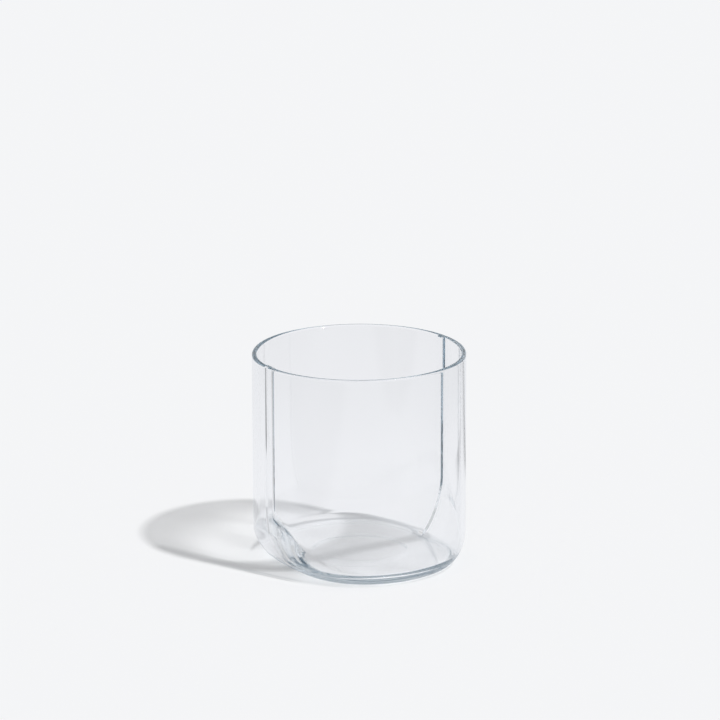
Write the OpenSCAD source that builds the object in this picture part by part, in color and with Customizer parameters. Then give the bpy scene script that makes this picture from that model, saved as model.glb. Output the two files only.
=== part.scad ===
/* [Body] */
// Outer diameter of the round wall
body_d = 82; // [72:1:96]
// Height from the table to the top of the rim
body_h = 82; // [72:1:100]
// Thickness of the glass in the wall
wall_t = 1.8; // [1.4:0.1:2.6]
/* [Base] */
// Thickness of the glass under the floor of the cup
base_t = 3.2; // [2.6:0.2:6]
// How far in the rounded foot edge reaches
foot_reach = 5; // [3:0.5:8]
// How high up the rounded foot edge rises
foot_rise = 3; // [2:0.5:6]
// How far in the rounded floor edge inside the cup reaches
floor_reach = 4.5; // [3:0.5:8]
// How high the rounded floor edge inside the cup rises above the floor
floor_rise = 3; // [2:0.5:6]
// Radius of the shallow hollow under the base
punt_r = 19; // [12:1:20]
// Depth of the shallow hollow under the base
punt_depth = 0.6; // [0.4:0.1:1.2]
/* [Fold] */
// Direction of the plane through both seams, turned from the x axis
fold_turn = 33; // [0:1:90]
// How far in the folded corner below each seam reaches
fold_reach = 10.6; // [8:0.2:14]
// How high up the folded corner below each seam rises
fold_rise = 16.2; // [12:0.2:24]
// Radius of the gentle bow across each folded corner
fold_bow = 120; // [90:5:200]
// How far in the folded corner inside the cup reaches
pocket_reach = 9; // [7:0.2:12]
// How high the folded corner inside the cup rises above the floor
pocket_rise = 15; // [11:0.2:22]
/* [Seam rib] */
// How far the rib along each seam stands into the cup
rib_h = 1.4; // [0.6:0.1:2]
// Width of the rib from the seam plane to its sharp edge
rib_front = 1; // [0.5:0.1:2]
// Width of the rib from the seam plane to where its soft edge meets the wall
rib_back = 4.2; // [3:0.1:6]
// Width of the soft edge
rib_slope = 1.4; // [0.6:0.1:2]
/* [Hidden] */
body_r = body_d / 2;
cup_r = body_r - wall_t;
lip_r = wall_t / 2;
barrel_h = 4 * body_h;
fine = 180;
lip_fine = 48;

// Outline of a glass body cut through its axis: straight side, bottom corner rounded as a quarter ellipse
module side_outline(half_w, h, reach, rise) {
    square([half_w - reach, h]);
    translate([0, rise]) square([half_w, h - rise]);
    translate([half_w - reach, rise]) scale([reach, rise]) circle(r = 1, $fn = fine);
}

// Right half of the same outline, for turning round the axis
module turned_outline(half_w, h, reach, rise) {
    intersection() {
        side_outline(half_w, h, reach, rise);
        square([half_w, h]);
    }
}

// Leaning barrel below one seam: its side slopes out from the floor to the wall over the given reach and rise
module fold_barrel(half_w, reach, rise) {
    lean = atan(reach / rise);
    translate([half_w - reach, 0, 0]) rotate([0, lean, 0]) translate([-fold_bow, 0, 0])
        cylinder(r = fold_bow, h = barrel_h, center = true, $fn = fine);
}

// Body of glass or of space: turned outline with both lower corners folded in below the seams
module folded_body(half_w, h, reach, rise, corner_reach, corner_rise) {
    intersection() {
        rotate_extrude($fn = fine) turned_outline(half_w, h, reach, rise);
        rotate(fold_turn) fold_barrel(half_w, corner_reach, corner_rise);
        rotate(fold_turn + 180) fold_barrel(half_w, corner_reach, corner_rise);
    }
}

// Solid outer form with its rounded foot, folded corners and fire-polished rim
module outer_form() {
    folded_body(body_r, body_h - lip_r, foot_reach, foot_rise, fold_reach, fold_rise);
    translate([0, 0, body_h - lip_r]) rotate_extrude($fn = fine)
        translate([body_r - lip_r, 0]) circle(r = lip_r, $fn = lip_fine);
}

// Space inside the cup, drawn in all round by an inset
module cup_form(inset) {
    translate([0, 0, base_t + inset])
        folded_body(cup_r - inset, body_h, floor_reach, floor_rise, pocket_reach, pocket_rise);
}

// Upright strips of the wall, one at each seam, in which the ribs stand
module rib_strips() {
    inner_u = cup_r - pocket_reach;
    outer_u = body_r - lip_r;
    rotate(fold_turn) for (side = [0, 1]) mirror([side, 0, 0])
        linear_extrude(height = body_h - lip_r) polygon([
            [inner_u, -rib_front], [outer_u, -rib_front], [outer_u, rib_back],
            [cup_r, rib_back], [cup_r - rib_h, rib_back - rib_slope], [inner_u, rib_back - rib_slope]
        ]);
}

// Space inside the cup with a rib left standing along each seam, from the rim down into the folded corner
module cup_space() {
    difference() {
        cup_form(0);
        difference() {
            rib_strips();
            cup_form(rib_h);
        }
    }
}

// Shallow hollow under the base, part of a sphere
module punt() {
    punt_sphere_r = (punt_r * punt_r + punt_depth * punt_depth) / (2 * punt_depth);
    translate([0, 0, punt_depth - punt_sphere_r]) sphere(r = punt_sphere_r, $fn = fine);
}

// The glass itself, one piece
module tumbler() {
    color([0.86, 0.91, 0.94, 0.45]) difference() {
        outer_form();
        cup_space();
        punt();
    }
}

tumbler();
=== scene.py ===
import math

import bpy
import numpy as np
from mathutils import Matrix, Vector


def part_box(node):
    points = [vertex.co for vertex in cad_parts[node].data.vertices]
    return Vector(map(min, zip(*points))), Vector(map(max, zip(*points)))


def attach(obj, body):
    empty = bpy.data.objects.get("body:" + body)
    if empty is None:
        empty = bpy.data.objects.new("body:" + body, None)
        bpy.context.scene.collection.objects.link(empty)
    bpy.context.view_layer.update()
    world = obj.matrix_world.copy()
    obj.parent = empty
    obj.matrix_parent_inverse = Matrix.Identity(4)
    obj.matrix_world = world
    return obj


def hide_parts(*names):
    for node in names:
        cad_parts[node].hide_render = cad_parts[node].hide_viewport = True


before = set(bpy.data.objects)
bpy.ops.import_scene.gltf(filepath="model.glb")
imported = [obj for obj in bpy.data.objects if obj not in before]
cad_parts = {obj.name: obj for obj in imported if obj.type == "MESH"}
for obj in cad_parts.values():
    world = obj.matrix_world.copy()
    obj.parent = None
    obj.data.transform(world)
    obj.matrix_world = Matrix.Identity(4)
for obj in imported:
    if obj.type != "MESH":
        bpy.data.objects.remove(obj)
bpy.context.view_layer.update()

mm = 0.001
print("frame loaded: one body and one piece, the tumbler")


def deselectAll():
    if bpy.context.mode != "OBJECT":
        bpy.ops.object.mode_set(mode="OBJECT")
    bpy.ops.object.select_all(action="DESELECT")
    bpy.context.view_layer.objects.active = None


class Maths:
    # wraps a socket, so that sums in the shader read as plain expressions
    def __init__(self, tree, socket):
        self.tree = tree
        self.socket = socket

    def run(self, operation, first, second):
        return addNode(self.tree, "ShaderNodeMath", {"operation": operation}, {0: first, 1: second})

    def __add__(self, other):
        return self.run("ADD", self, other)

    __radd__ = __add__

    def __sub__(self, other):
        return self.run("SUBTRACT", self, other)

    def __rsub__(self, other):
        return self.run("SUBTRACT", other, self)

    def __mul__(self, other):
        return self.run("MULTIPLY", self, other)

    __rmul__ = __mul__

    def __pow__(self, other):
        return self.run("POWER", self, other)

    def soft(self, ends, first, last):
        # a soft step from one value to another between two ends
        settings = {"interpolation_type": "SMOOTHSTEP"}
        inputs = {0: self, 1: ends[0], 2: ends[1], 3: first, 4: last}
        return addNode(self.tree, "ShaderNodeMapRange", settings, inputs)


def addNode(tree, kind, settings=None, inputs=None, output=0):
    node = tree.nodes.new(kind)
    for name, value in (settings or {}).items():
        setattr(node, name, value)
    for name, value in (inputs or {}).items():
        if isinstance(value, Maths):
            tree.links.new(value.socket, node.inputs[name])
        else:
            node.inputs[name].default_value = value
    return Maths(tree, node.outputs[output])


def addOutput(tree, surface, volume=None):
    out = tree.nodes.new("ShaderNodeOutputMaterial")
    tree.links.new(surface.socket, out.inputs["Surface"])
    if volume:
        tree.links.new(volume.socket, out.inputs["Volume"])


def newMaterial(name):
    material = bpy.data.materials.new(name)
    material.use_nodes = True
    material.node_tree.nodes.clear()
    return material


def objectPlace(tree):
    # place on the object, whole and split into across, away and up
    place = addNode(tree, "ShaderNodeTexCoord", None, None, "Object")
    across = addNode(tree, "ShaderNodeSeparateXYZ", None, {0: place})
    away, up = (Maths(tree, across.socket.node.outputs[number]) for number in (1, 2))
    return place, across, away, up


def makePlane(name, size, height, material):
    deselectAll()
    bpy.ops.mesh.primitive_plane_add(size=size, location=(0, 0, height))
    plane = bpy.context.active_object
    plane.name = name
    plane.data.materials.append(material)
    return plane


# the camera of the photograph, worked out from the ellipse of the rim
shot = {
    "aimHeight": 82 * mm,  # it looks at the middle of the rim
    "distance": 1646.9 * mm,
    "lookDown": math.radians(15.536),
    "roll": math.radians(-0.1766),
    "focalPixels": 4305.4,
    "aimPixel": (359.07, 351.3),  # where the middle of the rim lies in the picture
    "picturePixels": 720,
    "sensor": 36.0,
    "farthest": 100.0,  # beyond the edge of the floor
}


def makeCamera():
    data = bpy.data.cameras.new("camera")
    camera = bpy.data.objects.new("camera", data)
    bpy.context.scene.collection.objects.link(camera)
    data.sensor_width = shot["sensor"]
    data.lens = shot["focalPixels"] * shot["sensor"] / shot["picturePixels"]
    middle = shot["picturePixels"] / 2
    data.shift_x = (middle - shot["aimPixel"][0]) / shot["picturePixels"]
    data.shift_y = (shot["aimPixel"][1] - middle) / shot["picturePixels"]
    data.clip_end = shot["farthest"]
    down = shot["lookDown"]
    away = Vector((0, -math.cos(down), math.sin(down)))
    turn = (-away).to_track_quat("-Z", "Y").to_matrix().to_4x4()
    place = Matrix.Translation(Vector((0, 0, shot["aimHeight"])) + away * shot["distance"])
    camera.matrix_world = place @ turn @ Matrix.Rotation(shot["roll"], 4, "Z")
    bpy.context.scene.camera = camera


makeCamera()
print("camera placed")

# the white table and the light on it
studio = {
    "floorSize": 12.0,
    "floorGap": 0.1 * mm,  # the floor lies this far under the glass
    "floorTone": (0.9, 0.905, 0.915),
    "skyTone": (1.0, 1.004, 1.012),
    "skyStrength": 0.68,  # as it shows in the glass
    "skyOnTable": 0.42,  # as it lights the table
    "keyTravel": (-0.816, 0.578),  # way in which the key light runs over the table
    "keyHeight": math.radians(56),
    "keyStrength": 2.23,
    "keySpread": math.radians(3),
}


def makeFloor():
    material = newMaterial("table")
    tree = material.node_tree
    addOutput(tree, addNode(tree, "ShaderNodeBsdfDiffuse", None, {"Color": (*studio["floorTone"], 1)}))
    floor = makePlane("floor", studio["floorSize"], -studio["floorGap"], material)


def makeSky():
    world = bpy.data.worlds.new("studio")
    bpy.context.scene.world = world
    world.use_nodes = True
    world.cycles.sampling_method = "NONE"  # sampled as a lamp it would light the table in full
    tree = world.node_tree
    bounced = addNode(tree, "ShaderNodeLightPath", None, None, "Diffuse Depth")
    onTable = bounced.run("MINIMUM", bounced, 1)  # 1 for light that the table scatters, else 0
    strength = studio["skyStrength"] - onTable * (studio["skyStrength"] - studio["skyOnTable"])
    sky = tree.nodes["Background"]
    sky.inputs["Color"].default_value = (*studio["skyTone"], 1)
    tree.links.new(strength.socket, sky.inputs["Strength"])


def makeKeyLight():
    data = bpy.data.lights.new("key", "SUN")
    data.energy = studio["keyStrength"]
    data.angle = studio["keySpread"]
    key = bpy.data.objects.new("key", data)
    bpy.context.scene.collection.objects.link(key)
    flat = math.cos(studio["keyHeight"])
    across, into = studio["keyTravel"]
    travel = Vector((across * flat, into * flat, -math.sin(studio["keyHeight"])))
    key.rotation_euler = travel.to_track_quat("-Z", "Y").to_euler()


# painted shade on the table as the glass sees it: dimmer away from the glass, to its sides and in front
# a pair says where a soft step starts and ends, across the table or away from the camera
paintedShadeSheet = {
    "gap": 0.05 * mm,  # just above the floor
    "size": 6.0,
    "reach": (0.05, 0.3),
    "nearTone": 0.98,
    "farTone": 0.93,
    "right": (0.15, 0.27),
    "left": (-0.32, -0.2),
    "sideTone": 0.78,
    "front": (-0.31, -0.17),
    "frontTone": 0.8,
    "cornerAcross": (-0.1, -0.06),  # a painted dark corner at the front left
    "cornerAway": (-0.09, -0.05),
    "cornerTone": 0.6,
    "stripStart": (0.055, 0.07),  # a painted dark strip that runs off to the back right
    "stripSlope": 1.4,
    "stripNear": (0.005, 0.015),
    "stripFar": (0.037, 0.047),
    "stripTone": 0.3,
    "tint": (0.992, 0.994, 1.012),
}


def paintedShadeTone(tree):
    dim = paintedShadeSheet
    across, away = objectPlace(tree)[1:3]
    reach = (across * across + away * away) ** 0.5
    tone = reach.soft(dim["reach"], dim["nearTone"], dim["farTone"])
    tone = tone * across.soft(dim["right"], 1, dim["sideTone"])
    tone = tone * across.soft(dim["left"], dim["sideTone"], 1)
    tone = tone * away.soft(dim["front"], dim["frontTone"], 1)
    corner = across.soft(dim["cornerAcross"], 1, 0) * away.soft(dim["cornerAway"], 1, 0)
    tone = tone * (1 - corner * (1 - dim["cornerTone"]))
    beside = away - across * dim["stripSlope"]
    strip = beside.soft(dim["stripNear"], 0, 1) * beside.soft(dim["stripFar"], 1, 0)
    strip = strip * across.soft(dim["stripStart"], 0, 1)
    return tone * (1 - strip * (1 - dim["stripTone"]))


def makePaintedShadeSheet():
    # a clear sheet with a graded tone of painted shade, which only the glass sees
    material = newMaterial("paintedShadeSheet")
    tree = material.node_tree
    tone = paintedShadeTone(tree)
    red, green, blue = paintedShadeSheet["tint"]
    colour = addNode(tree, "ShaderNodeCombineColor", None, {0: tone * red, 1: tone * green, 2: tone * blue})
    addOutput(tree, addNode(tree, "ShaderNodeBsdfTransparent", None, {"Color": colour}))
    sheet = makePlane("paintedShadeSheet", paintedShadeSheet["size"], -paintedShadeSheet["gap"], material)
    sheet.visible_camera = False
    sheet.visible_diffuse = False
    sheet.visible_shadow = False


# light runs down inside the wall in many small steps
bounces = {
    "glass": 256,
    "clearSheets": 64,
}


def setScene():
    scene = bpy.context.scene
    scene.view_settings.view_transform = "Standard"
    scene.cycles.max_bounces = bounces["glass"]
    scene.cycles.transmission_bounces = bounces["glass"]
    scene.cycles.glossy_bounces = bounces["glass"]
    scene.cycles.transparent_max_bounces = bounces["clearSheets"]
    scene.cycles.blur_glossy = 0


makeFloor()
makePaintedShadeSheet()
makeSky()
makeKeyLight()
setScene()
print("table and light ready")

# the tumbler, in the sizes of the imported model
low, high = (Vector(corner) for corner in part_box("tumbler"))
tumbler = {
    "radius": (high.x - low.x) / 2,
    "height": high.z - low.z,
    "wall": 1.8 * mm,
    "base": 3.2 * mm,
    "wallFoot": 34 * mm,  # above this the wall is plain
    "hollowRadius": 19 * mm,  # shallow hollow under the base
    "hollowDepth": 0.6 * mm,
    "domeRadius": 17.5 * mm,  # the floor of the cup rises over the hollow
    "domeHeight": 0.6 * mm,
    "bowlPower": 4,  # how flat the middle of both is
    "bowlMargin": 1.02,  # both stay round out to this share of their radius
    "seamTurn": math.radians(33),  # the plane through both seams, turned from the x axis
}

# rows of the mesh up the outline
rows = {
    "bowl": 19,
    "outerFloor": 13,
    "innerFloor": 12,
    "corner": 38,
    "crowding": 1.6,  # the rows of the corner lie closer at its foot
    "aboveCorner": 13,
    "wall": 9,
    "rim": 7,
    "underRim": 0.3 * mm,  # a row this close under the rim keeps its shading clean
    "weld": 0.001 * mm,
}

# bottom corner of the outside and of the cup: how far it reaches in and rises between the seams,
# how much more below a seam, how fast it changes round the glass and how full it is
outerCorner = {
    "reach": 5 * mm,
    "rise": 6 * mm,
    "moreReach": 5.6 * mm,
    "moreRise": 11 * mm,
    "narrow": 4.2,
    "fullness": 1.7,
    "moreFullness": -0.4,
}
innerCorner = {
    "reach": 3 * mm,
    "rise": 2.2 * mm,
    "moreReach": 7.4 * mm,
    "moreRise": 20 * mm,
    "narrow": 8,
    "fullness": 1.5,
    "moreFullness": 0,
}

# rib inside along each seam, in arc lengths from the seam plane, the side of the camera positive
rib = {
    "height": 1.1 * mm,
    "soft": (-3.6 * mm, 1.0 * mm),  # middle and width of the soft flank
    "sharp": (0.9 * mm, 0.14 * mm),
    "footHeight": 1.2,  # its height at the floor, as a share of that on the wall
    "foot": 0.02,  # share of the corner over which it fades into the floor
    "start": 2.4 * mm,  # where the fine columns start, on the side of the camera
    "columns": [(1.4 * mm, 8), (0.2 * mm, 10), (3.8 * mm, 19), (1.4 * mm, 14), (1.8 * mm, 8)],
    "sideColumns": 150,  # from one seam to the other
}


def cornerPoint(corner, share, more=0.0):
    # inward and upward place on a corner, from its foot at share 0 to its top at share 1
    reach = corner["reach"] + corner["moreReach"] * more
    rise = corner["rise"] + corner["moreRise"] * more
    full = corner["fullness"] + corner["moreFullness"] * more
    return reach * (1 - (1 - (1 - share) ** full) ** (1 / full)), rise * share


def straightPoints(start, end, steps):
    return [
        (start[0] + (end[0] - start[0]) * step / steps, start[1] + (end[1] - start[1]) * step / steps)
        for step in range(1, steps + 1)
    ]


def bowlPoints(radius, floor, height):
    # shallow bowl in the middle of the base, from the axis out
    steps = rows["bowl"]
    return [
        (radius * step / steps, floor + height * (1 - (step / steps) ** tumbler["bowlPower"]))
        for step in range(steps + 1)
    ]


def wallPoints(corner, radius, floor):
    # corner and wall of one shell, from the floor up to the start of the rim
    points = []
    for row in range(1, rows["corner"] + 1):
        inward, up = cornerPoint(corner, (row / rows["corner"]) ** rows["crowding"])
        points.append((radius - inward, floor + up))
    top = tumbler["height"] - tumbler["wall"] / 2
    points += straightPoints(points[-1], (radius, tumbler["wallFoot"]), rows["aboveCorner"])
    points += straightPoints(points[-1], (radius, top - rows["underRim"]), rows["wall"])
    return points + [(radius, top)]


def rimPoints(side):
    # quarter of the round rim, from the wall to its top
    lip = tumbler["wall"] / 2
    middle = tumbler["radius"] - lip
    turns = [math.pi / 2 * step / rows["rim"] for step in range(1, rows["rim"] + 1)]
    return [
        (middle + side * lip * math.cos(turn), tumbler["height"] - lip + lip * math.sin(turn))
        for turn in turns
    ]


def outerProfile():
    radius, hollow = tumbler["radius"], tumbler["hollowRadius"]
    points = bowlPoints(hollow, 0, tumbler["hollowDepth"])
    points += straightPoints((hollow, 0), (radius - outerCorner["reach"], 0), rows["outerFloor"])
    return points + wallPoints(outerCorner, radius, 0) + rimPoints(1)


def innerProfile():
    radius, dome, base = tumbler["radius"] - tumbler["wall"], tumbler["domeRadius"], tumbler["base"]
    points = bowlPoints(dome, base, tumbler["domeHeight"])
    points += straightPoints((dome, base), (radius - innerCorner["reach"], base), rows["innerFloor"])
    return points + wallPoints(innerCorner, radius, base) + rimPoints(-1)


def drawProfile(name, points):
    # one vertex, extruded along the outline in an upright plane through the axis
    deselectAll()
    bpy.ops.mesh.primitive_plane_add(size=mm)
    shell = bpy.context.active_object
    shell.name = name
    bpy.ops.object.mode_set(mode="EDIT")
    bpy.ops.mesh.select_all(action="SELECT")
    bpy.ops.mesh.merge(type="CENTER")
    turn = tumbler["seamTurn"] - rib["start"] / tumbler["radius"]
    across = Vector((math.cos(turn), math.sin(turn), 0))
    here = Vector((0, 0, 0))
    for number, (r, z) in enumerate(points):
        there = across * r + Vector((0, 0, z))
        if number == 0:
            bpy.ops.transform.translate(value=there - here)
        else:
            bpy.ops.mesh.extrude_region_move(TRANSFORM_OT_translate={"value": there - here})
        here = there
    return shell


def weldAll():
    bpy.ops.mesh.select_all(action="SELECT")
    bpy.ops.mesh.remove_doubles(threshold=rows["weld"])


def spinProfile():
    # a turn of the outline round the axis, in fine steps beside the seams and coarser ones between
    fine = [(arc / tumbler["radius"], steps) for arc, steps in rib["columns"]]
    span = sum(angle for angle, steps in fine)
    first = rib["start"] / tumbler["radius"]
    back = math.pi - 2 * (span - first)
    front = math.pi - 2 * first
    turns = fine + [(back, rib["sideColumns"])] + fine[::-1] + [(front, rib["sideColumns"])]
    bpy.ops.mesh.select_all(action="SELECT")
    for angle, steps in turns:
        bpy.ops.mesh.spin(steps=steps, angle=angle, center=(0, 0, 0), axis=(0, 0, -1))
    weldAll()
    bpy.ops.object.mode_set(mode="OBJECT")


def readPlaces(shell, name="co"):
    places = np.empty(len(shell.data.vertices) * 3)
    shell.data.vertices.foreach_get(name, places)
    return places.reshape(-1, 3)


def writePlaces(shell, places):
    shell.data.vertices.foreach_set("co", places.ravel())
    shell.data.update()


def turnFromSeam(places):
    return np.arctan2(places[:, 1], places[:, 0]) - tumbler["seamTurn"]


def drawInCorners(shell, corner, radius, floor, bowl):
    # lets the bottom corner grow towards the two seams and leaves the bowl in the middle as it is
    places = readPlaces(shell)
    r = np.hypot(places[:, 0], places[:, 1])
    z = places[:, 2] - floor
    rise = corner["rise"]
    top = tumbler["wallFoot"] - floor
    fixed = bowl * tumbler["bowlMargin"]
    more = np.abs(np.cos(turnFromSeam(places))) ** corner["narrow"]
    onCorner = (z > 0) & (z < rise) & (r > fixed)
    onWall = (z >= rise) & (z < top)
    onFloor = (z <= 0) & (r > fixed)
    inward, up = cornerPoint(corner, np.clip(z / rise, 0, 1), more)
    foot = radius - corner["reach"]
    newFoot = foot - corner["moreReach"] * more
    newTop = rise + corner["moreRise"] * more
    newR = np.where(onCorner, radius - inward, r)
    newR = np.where(onFloor, fixed + (r - fixed) * (newFoot - fixed) / (foot - fixed), newR)
    newZ = np.where(onCorner, up, z)
    newZ = np.where(onWall, newTop + (z - rise) * (top - newTop) / (top - rise), newZ)
    grow = newR / np.maximum(r, mm)
    places[:, 0] *= grow
    places[:, 1] *= grow
    places[:, 2] = newZ + floor
    writePlaces(shell, places)


def flank(arc, place):
    middle, width = place
    share = np.clip((arc - middle) / width + 0.5, 0, 1)
    return share * share * (3 - 2 * share)


def raiseRibs(shell):
    # thickens the wall inwards along both seams, from the rim down the drawn-in corner
    places = readPlaces(shell)
    normals = readPlaces(shell, "normal")
    x, y, z = places.T
    r = np.maximum(np.hypot(x, y), mm)
    inwards = np.stack([-x / r, -y / r, np.zeros_like(r)], axis=1)
    facing = np.where((normals * inwards).sum(axis=1) + normals[:, 2] > 0, 1, -1)
    onWall = z > tumbler["wallFoot"]
    ways = np.where(onWall[:, None], inwards, normals * facing[:, None])
    turn = turnFromSeam(places)
    arc = -np.arctan(np.tan(turn)) * np.sign(np.cos(turn)) * tumbler["radius"]
    height = rib["height"] * (flank(arc, rib["soft"]) - flank(arc, rib["sharp"]))
    more = np.abs(np.cos(turn)) ** innerCorner["narrow"]
    rise = innerCorner["rise"] + innerCorner["moreRise"] * more
    down = np.clip((z - tumbler["base"]) / rise, 0, 1)
    atFoot = np.clip(down / rib["foot"], 0, 1) * (rib["footHeight"] + (1 - rib["footHeight"]) * down)
    lip = tumbler["wall"] / 2
    atRim = np.clip((tumbler["radius"] - lip - r) / lip, 0, 1)
    offDome = r > tumbler["domeRadius"] * tumbler["bowlMargin"]
    writePlaces(shell, places + ways * (height * atFoot * atRim * offDome)[:, None])


def makeTumbler():
    radius, wall, base = tumbler["radius"], tumbler["wall"], tumbler["base"]
    outside = drawProfile("outside", outerProfile())
    spinProfile()
    drawInCorners(outside, outerCorner, radius, 0, tumbler["hollowRadius"])
    inside = drawProfile("inside", innerProfile())
    spinProfile()
    drawInCorners(inside, innerCorner, radius - wall, base, tumbler["domeRadius"])
    raiseRibs(inside)
    deselectAll()
    inside.select_set(True)
    outside.select_set(True)
    bpy.context.view_layer.objects.active = outside
    bpy.ops.object.join()
    outside.name = outside.data.name = "glassTumbler"
    bpy.ops.object.mode_set(mode="EDIT")
    weldAll()
    bpy.ops.mesh.normals_make_consistent(inside=False)
    bpy.ops.object.mode_set(mode="OBJECT")
    bpy.ops.object.shade_smooth()
    return outside


glassLook = {
    "bend": 1.5,  # index of refraction
    "tint": (0.15, 0.35, 0.47),
    "tintDensity": 6.5,
    "waveScale": (70.0, 70.0, 12.0),  # long upright waves left by the blowing
    "waveDetail": 2.0,
    "waveDepth": 0.006 * mm,
}

# share of the key light that each surface lets through, for the light shadow of clear glass
# a pair says between which two places it changes
glassShadow = {
    "clear": 0.98,
    "edge": (0.85, 0.97),  # where the wall turns away from the light and its shadow grows dark
    "waves": (0.35, 0.6),
    "waveShare": 0.92,
    "highWall": (28 * mm, 70 * mm),  # darker through the upper wall
    "highShare": 0.75,
    "ribWidth": (2 * mm, 4 * mm),
    "ribShare": 0.6,
    "rimDrop": (2.5 * mm, 1 * mm),  # down from the top
    "rimShare": 0.85,
    "footRadius": (39 * mm, 40 * mm),  # the thick corner of the base
    "footHeight": (4.2 * mm, 6 * mm),
    "footShare": 0.5,
}


def squared(ends):
    return [end ** 2 for end in ends]


def shadowShare(tree, waves, across, away, up):
    dark, seamTurn = glassShadow, tumbler["seamTurn"]
    facing = addNode(tree, "ShaderNodeLayerWeight", None, {"Blend": 0.5}, "Facing")
    share = facing.soft(dark["edge"], dark["clear"], 0)
    share = share * waves.soft(dark["waves"], dark["waveShare"], 1)
    beside = away * math.cos(seamTurn) - across * math.sin(seamTurn)
    share = share * (beside * beside).soft(squared(dark["ribWidth"]), dark["ribShare"], 1)
    share = share * up.soft(dark["highWall"], 1, dark["highShare"])
    rimPlace = [tumbler["height"] - drop for drop in dark["rimDrop"]]
    share = share * up.soft(rimPlace, 1, dark["rimShare"])
    radial = across * across + away * away
    foot = radial.soft(squared(dark["footRadius"]), 1, dark["footShare"])
    share = share * up.soft(dark["footHeight"], foot, 1)
    return share * addNode(tree, "ShaderNodeLightPath", None, None, "Is Shadow Ray")


def clearGlass():
    look = glassLook
    material = newMaterial("clearGlass")
    tree = material.node_tree
    place, across, away, up = objectPlace(tree)
    stretched = addNode(tree, "ShaderNodeMapping", None, {"Vector": place, "Scale": look["waveScale"]})
    pattern = {"Vector": stretched, "Scale": 1.0, "Detail": look["waveDetail"]}
    waves = addNode(tree, "ShaderNodeTexNoise", None, pattern)
    bumps = addNode(tree, "ShaderNodeBump", None, {"Height": waves, "Distance": look["waveDepth"]})
    glass = addNode(tree, "ShaderNodeBsdfPrincipled", None, {
        "Base Color": (1, 1, 1, 1),
        "Roughness": 0,
        "IOR": look["bend"],
        "Transmission Weight": 1,
        "Normal": bumps,
    })
    clear = addNode(tree, "ShaderNodeBsdfTransparent")
    share = shadowShare(tree, waves, across, away, up)
    surface = addNode(tree, "ShaderNodeMixShader", None, {0: share, 1: glass, 2: clear})
    tint = addNode(tree, "ShaderNodeVolumeAbsorption", None, {
        "Color": (*look["tint"], 1),
        "Density": look["tintDensity"],
    })
    addOutput(tree, surface, tint)
    return material


piece = makeTumbler()
piece.data.materials.append(clearGlass())
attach(piece, "root")
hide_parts("tumbler")
print("tumbler made:", len(piece.data.polygons), "faces")
